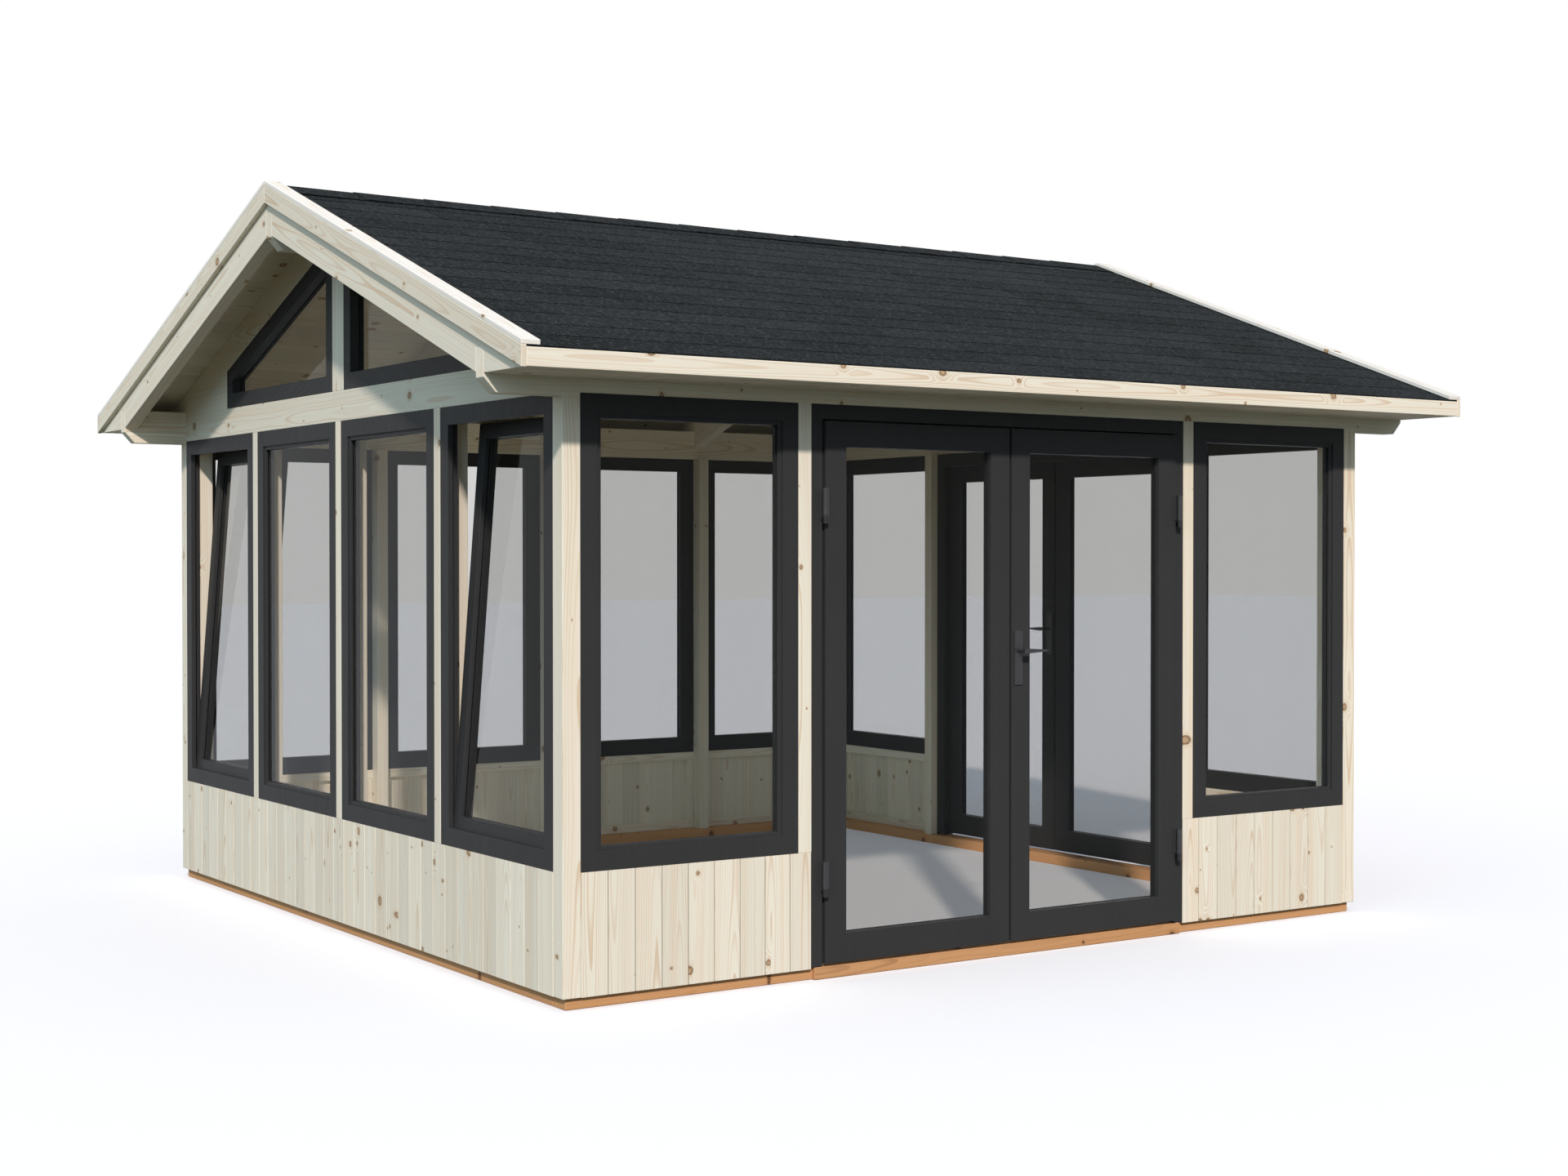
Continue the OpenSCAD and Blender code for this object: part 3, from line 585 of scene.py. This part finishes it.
def dressed(node, material, body, seed, edge=EASED, direction=None):
    """A CAD node's solids with eased edges, each with its own grain."""
    piece = Timber("dressed_" + node, seed)
    load_node(piece.bm, node)
    edges = [e for e in piece.bm.edges
             if len(e.link_faces) == 2 and e.calc_face_angle(0) > SHARP and e.is_convex]
    bmesh.ops.bevel(piece.bm, geom=edges, offset=edge, segments=1, affect="EDGES",
                    clamp_overlap=True)
    for part in islands(piece.bm):
        piece.mark(part, direction or grain_direction(part))
    piece.finish(material, body, node)


def chamfered(width, thick, front):
    """Section of a board from (0, 0), with its front edges chamfered."""
    return [(front, 0), (width - front, 0), (width, front), (width, thick), (0, thick), (0, front)]


def tongued(width, thick):
    """Section of a tongued board: chamfered edges, and a narrow open joint in front of each tongue."""
    right = width - JOINT
    back = thick - CHAMFER
    return [(JOINT + CHAMFER, 0), (right - CHAMFER, 0), (right, CHAMFER), (right, TONGUE_AT),
            (width, TONGUE_AT), (width, back), (width - CHAMFER, thick), (CHAMFER, thick),
            (0, back), (0, TONGUE_AT), (JOINT, TONGUE_AT), (JOINT, CHAMFER)]


# Corners of that section that lie in a joint, and their tone: painted shade darkens them, most at the
# tongue
JOINT_SHADE = ((2, -0.35), (3, -1), (4, -1), (9, -1), (10, -1), (11, -0.35))


def wall_boards():
    """Upright tongued boards, laid from the corners, in place of the plain wall boarding."""
    piece = Timber("wall_boards", SEED)
    for low, high in solid_boxes("wall_cladding"):
        size = high - low
        middle = (low + high) / 2
        run = 0 if size.x > size.y else 1
        through = 1 - run
        across, inward = (X_WAY, Y_WAY) if run == 0 else (Y_WAY, X_WAY)
        outer = low[through]
        if middle[through] > 0:
            inward = -inward
            outer = high[through]
        toward = -1 if middle[run] > FROM_CORNER else 1
        at = low[run] if toward > 0 else high[run]
        left = size[run]
        while left > BOARD_LEAST:
            width = min(BOARD_W, left)
            start = Vector((0, 0, low.z))
            start[run] = at
            start[through] = outer
            section = tongued(width, size[through])
            piece.prism(section, start, UP, size.z, across * toward, inward, dust_and_shade=JOINT_SHADE)
            at += toward * width
            left -= width
    piece.finish(SPRUCE, "building", "wall_cladding")


def roof_boarding():
    """Tongued roof boards parallel to the ridge, with their chamfered faces to the room."""
    low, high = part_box("roof_boards")
    thick = ROOF_BOARD_THICK
    apex = high.z - thick * PLUMB + RIDGE_GAP * RISE
    total = high.y * PLUMB
    piece = Timber("roof_boarding", SEED + 1)
    for side in (-1, 1):
        run = RIDGE_GAP * PLUMB
        while run < total - BOARD_LEAST:
            width = min(ROOF_BOARD_W, total - run)
            section = chamfered(width, thick, ROOF_CHAMFER)
            if run < ROOF_BOARD_W:
                # The top board is cut plumb at the ridge
                section = [(0, 0), (width - CHAMFER, 0), (width, CHAMFER), (width, thick),
                           (-thick * RISE, thick)]
            if run + width > total - BOARD_LEAST:
                # The lowest board is cut plumb behind the fascia
                section = [(CHAMFER, 0), (width, 0), (width - thick * RISE, thick), (0, thick),
                           (0, CHAMFER)]
            start = slope_point(low.x, side, run, apex)
            piece.prism(section, start, X_WAY, high.x - low.x, downhill(side), off_slope(side))
            run += width
    piece.finish(SPRUCE, "building", "roof_boards")


def soffit_boarding():
    """Level boards under the eaves, with joints parallel to the wall."""
    piece = Timber("soffit_boarding", SEED + 2)
    for low, high in solid_boxes("soffit_boards"):
        size = high - low
        width = size.y / SOFFIT_COUNT
        for i in range(SOFFIT_COUNT):
            start = Vector((low.x, low.y + i * width, low.z))
            piece.prism(chamfered(width, size.z, CHAMFER), start, X_WAY, size.x, Y_WAY, UP)
    piece.finish(SPRUCE, "building", "soffit_boards")


def tab_section(top, butt):
    """Section of one tab, from its thin upper edge down to its thick, slightly rounded butt."""
    lift = FELT_BASE + TAB_BUTT
    return [(top, FELT_BASE), (butt, FELT_BASE), (butt, lift - TAB_ROUND / 2),
            (butt - TAB_ROUND, lift), (top, FELT_BASE + TAB_TOP)]


def shingle_courses(side, node, seed):
    """Courses of overlapping tabs on a thin bed, each tab with its own length, drop and tone."""
    low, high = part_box(node)
    reach = max(abs(low.y), abs(high.y))
    apex = high.z - FELT_THICK * PLUMB + RIDGE_GAP * RISE
    total = reach * PLUMB - FELT_THICK * RISE
    down, up = downhill(side), off_slope(side)
    piece = Timber("shingles_" + node, seed)
    head = RIDGE_GAP * PLUMB
    bed = [(head, 0), (total, 0), (total, FELT_BASE), (head - FELT_BASE * RISE, FELT_BASE)]
    start = slope_point(low.x, side, 0, apex)
    piece.prism(bed, start, X_WAY, high.x - low.x, down, up, tone=BED_TONE)
    butt = total
    while butt > COURSE_LEAST:
        top = max(butt - TAB_EXPOSURE - TAB_LAP, RIDGE_GAP)
        x = low.x - piece.rng.uniform(0, TAB_MAX)
        level = piece.rng.random()
        while x < high.x - 2 * TAB_LEAST:
            width = piece.rng.uniform(TAB_MIN, TAB_MAX)
            x0 = max(x, low.x)
            x1 = min(x + width - TAB_GAP, high.x)
            if x1 - x0 > TAB_LEAST:
                section = tab_section(top, butt - piece.rng.uniform(0, TAB_DROP))
                level = TONE_KEPT * level + (1 - TONE_KEPT) * piece.rng.random()
                start = slope_point(x0, side, 0, apex)
                piece.prism(section, start, X_WAY, x1 - x0, down, up, tone=level)
            x += width
        butt -= TAB_EXPOSURE
    piece.finish(FELT, "building", node)


def ridge_caps():
    """Cap shingles bent over the ridge, each lapping the next."""
    low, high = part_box("ridge_cap")
    wing = high.y
    corners = ((-wing, 0), (0, 0), (wing, 0), (wing, 1), (0, 1), (-wing, 1))
    piece = Timber("ridge_cap_shingles", SEED + 5)
    count = round((high.x - low.x) / CAP_EXPOSURE)
    step = (high.x - low.x) / count
    for i in range(count):
        x0 = low.x + i * step
        x1 = min(x0 + step + CAP_LAP, high.x)
        tone = piece.rng.random() * CAP_TONE
        ends = []
        for x, lift in ((x0, CAP_THICK * PLUMB + 2 * CAP_SEAT), (x1, CAP_SEAT)):
            crest = high.z - CAP_ROOM * PLUMB + lift
            ends.append([piece.bm.verts.new((x, y, crest - abs(y) * RISE + t * CAP_THICK * PLUMB))
                         for y, t in corners])
        a, b = ends
        for k in range(len(corners)):
            n = (k + 1) % len(corners)
            piece.bm.faces.new((a[k], a[n], b[n], b[k]))
        for end in (a[::-1], b):
            piece.bm.faces.new((end[0], end[1], end[4], end[5]))
            piece.bm.faces.new((end[1], end[2], end[3], end[4]))
        piece.mark(a + b, X_WAY, tone)
    piece.finish(FELT, "building", "ridge_cap")


def assign(material, *nodes):
    """Gives CAD nodes that stay as they are a finished material."""
    for name in nodes:
        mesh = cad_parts[name].data
        mesh.materials.clear()
        mesh.materials.append(material)


wall_boards()
roof_boarding()
soffit_boarding()
shingle_courses(-1, "front_shingles", SEED + 3)
shingle_courses(1, "back_shingles", SEED + 4)
ridge_caps()

WOOD_NODES = ("corner_posts", "wall_posts", "bay_battens", "wall_plates", "gable_beams",
              "gable_posts", "gable_infill", "ridge_beam", "rafters", "barge_rafters", "fascias",
              "bargeboards", "verge_battens")
BEAM_NODES = ("eaves_sills", "gable_sills", "thresholds")
FRAME_NODES = ("front_windows", "side_windows", "back_windows", "left_windows", "tilting_sashes",
               "front_door_frame", "side_door_frame", "gable_lights")
LEAVES = [(wall, side) for wall in ("front", "side") for side in ("left", "right")]

for number, name in enumerate(WOOD_NODES):
    direction = Y_WAY if name == "gable_infill" else None
    # The verge battens get the paler spruce, a painted highlight of sun
    material = SUNLIT_BATTEN if name == "verge_battens" else SPRUCE
    dressed(name, material, "building", TIMBER_SEED + number, direction=direction)
for number, name in enumerate(BEAM_NODES):
    dressed(name, BEAM, "building", BEAM_SEED + number, edge=EASED_BEAM)
for number, name in enumerate(FRAME_NODES):
    dressed(name, PAINT, "building", FRAME_SEED + number)
for number, (wall, side) in enumerate(LEAVES):
    dressed(f"{wall}_{side}_leaf", PAINT, f"{wall}_{side}_door",
            LEAF_SEED + number, direction=UP)
assign(GLASS, "front_panes", "side_panes", "back_panes", "left_panes", "gable_panes",
       *[f"{wall}_{side}_glass" for wall, side in LEAVES])
assign(GREY_METAL, "front_handle_plates", "side_handle_plates", "front_lever", "side_lever",
       *[f"{wall}_{side}_hinges" for wall, side in LEAVES])
assign(BLACK_METAL, "frame_hinges")

# Stage, light and camera


def floor():
    """A white ground plane with the part's shadow on it, which throws little light on its outside."""
    s = Shading("pale_floor")
    ways = s.add("ShaderNodeLightPath").outputs
    seen = s.plus(ways["Is Camera Ray"], ways["Is Glossy Ray"], clamp=True)
    seen = s.plus(seen, ways["Is Transmission Ray"], clamp=True)
    place = s.split(s.add("ShaderNodeTexCoord").outputs["Object"])
    away = s.math("MAXIMUM", s.math("ABSOLUTE", place[0]), s.math("ABSOLUTE", place[1]))
    slab = s.math("LESS_THAN", away, SLAB_REACH)
    bounce = s.mix(slab, FLOOR_BOUNCE, SLAB_BOUNCE)
    shader = s.add("ShaderNodeBsdfDiffuse")
    # Inside the part the camera sees the ground darker than it throws light: painted shade
    s.put(shader.inputs["Color"], s.mix(seen, bounce, s.mix(slab, FLOOR_SEEN, SLAB_SEEN_SHADED)))
    glow = s.add("ShaderNodeEmission")
    glow.inputs["Color"].default_value = (*FLOOR_LIFT, 1)
    s.put(glow.inputs["Strength"], seen)
    both = s.add("ShaderNodeAddShader")
    s.put(both.inputs[0], shader.outputs[0])
    s.put(both.inputs[1], glow.outputs[0])
    s.put(s.out.inputs["Surface"], both.outputs[0])
    bm = bmesh.new()
    bmesh.ops.create_grid(bm, x_segments=2, y_segments=2, size=GROUND_REACH)
    mesh = bpy.data.meshes.new("ground")
    bm.to_mesh(mesh)
    bm.free()
    mesh.materials.append(s.mat)
    ground = bpy.data.objects.new("ground", mesh)
    ground.location.z = cad_box[0][2] - GROUND_DROP
    bpy.context.scene.collection.objects.link(ground)


def sun(name, toward, strength, colour, spread):
    """A distant lamp that shines from the given direction."""
    data = bpy.data.lights.new(name, "SUN")
    data.energy = strength
    data.color = colour
    data.angle = math.radians(spread)
    lamp = bpy.data.objects.new(name, data)
    lamp.rotation_euler = toward.to_track_quat("Z", "Y").to_euler()
    bpy.context.scene.collection.objects.link(lamp)


def sky():
    """White behind the part, and soft daylight on it."""
    world = bpy.data.worlds.new("daylight")
    world.use_nodes = True
    tree = world.node_tree
    tree.nodes.clear()
    surface = tree.nodes.new("ShaderNodeOutputWorld")
    ways = tree.nodes.new("ShaderNodeLightPath")
    light = tree.nodes.new("ShaderNodeBackground")
    light.inputs["Color"].default_value = (*DAYLIGHT, 1)
    light.inputs["Strength"].default_value = DAYLIGHT_STRENGTH
    white = tree.nodes.new("ShaderNodeBackground")
    white.inputs["Color"].default_value = (1, 1, 1, 1)
    last = light.outputs[0]
    for key in ("Is Camera Ray", "Is Glossy Ray", "Is Transmission Ray"):
        mix = tree.nodes.new("ShaderNodeMixShader")
        tree.links.new(ways.outputs[key], mix.inputs[0])
        tree.links.new(last, mix.inputs[1])
        tree.links.new(white.outputs[0], mix.inputs[2])
        last = mix.outputs[0]
    tree.links.new(last, surface.inputs["Surface"])
    bpy.context.scene.world = world


def camera():
    """The photograph's view."""
    data = bpy.data.cameras.new("camera")
    data.lens = CAMERA_LENS
    data.sensor_width = CAMERA_SENSOR
    data.clip_end = CAMERA_REACH
    eye = bpy.data.objects.new("camera", data)
    eye.location = CAMERA_AT
    eye.rotation_euler = CAMERA_LOOK.to_track_quat("-Z", "Y").to_euler()
    bpy.context.scene.collection.objects.link(eye)
    bpy.context.scene.camera = eye


floor()
sun("sun", **SUN)
sun("sky_left", **SKY_LEFT)
sky()
camera()
bpy.context.scene.view_settings.view_transform = "Standard"
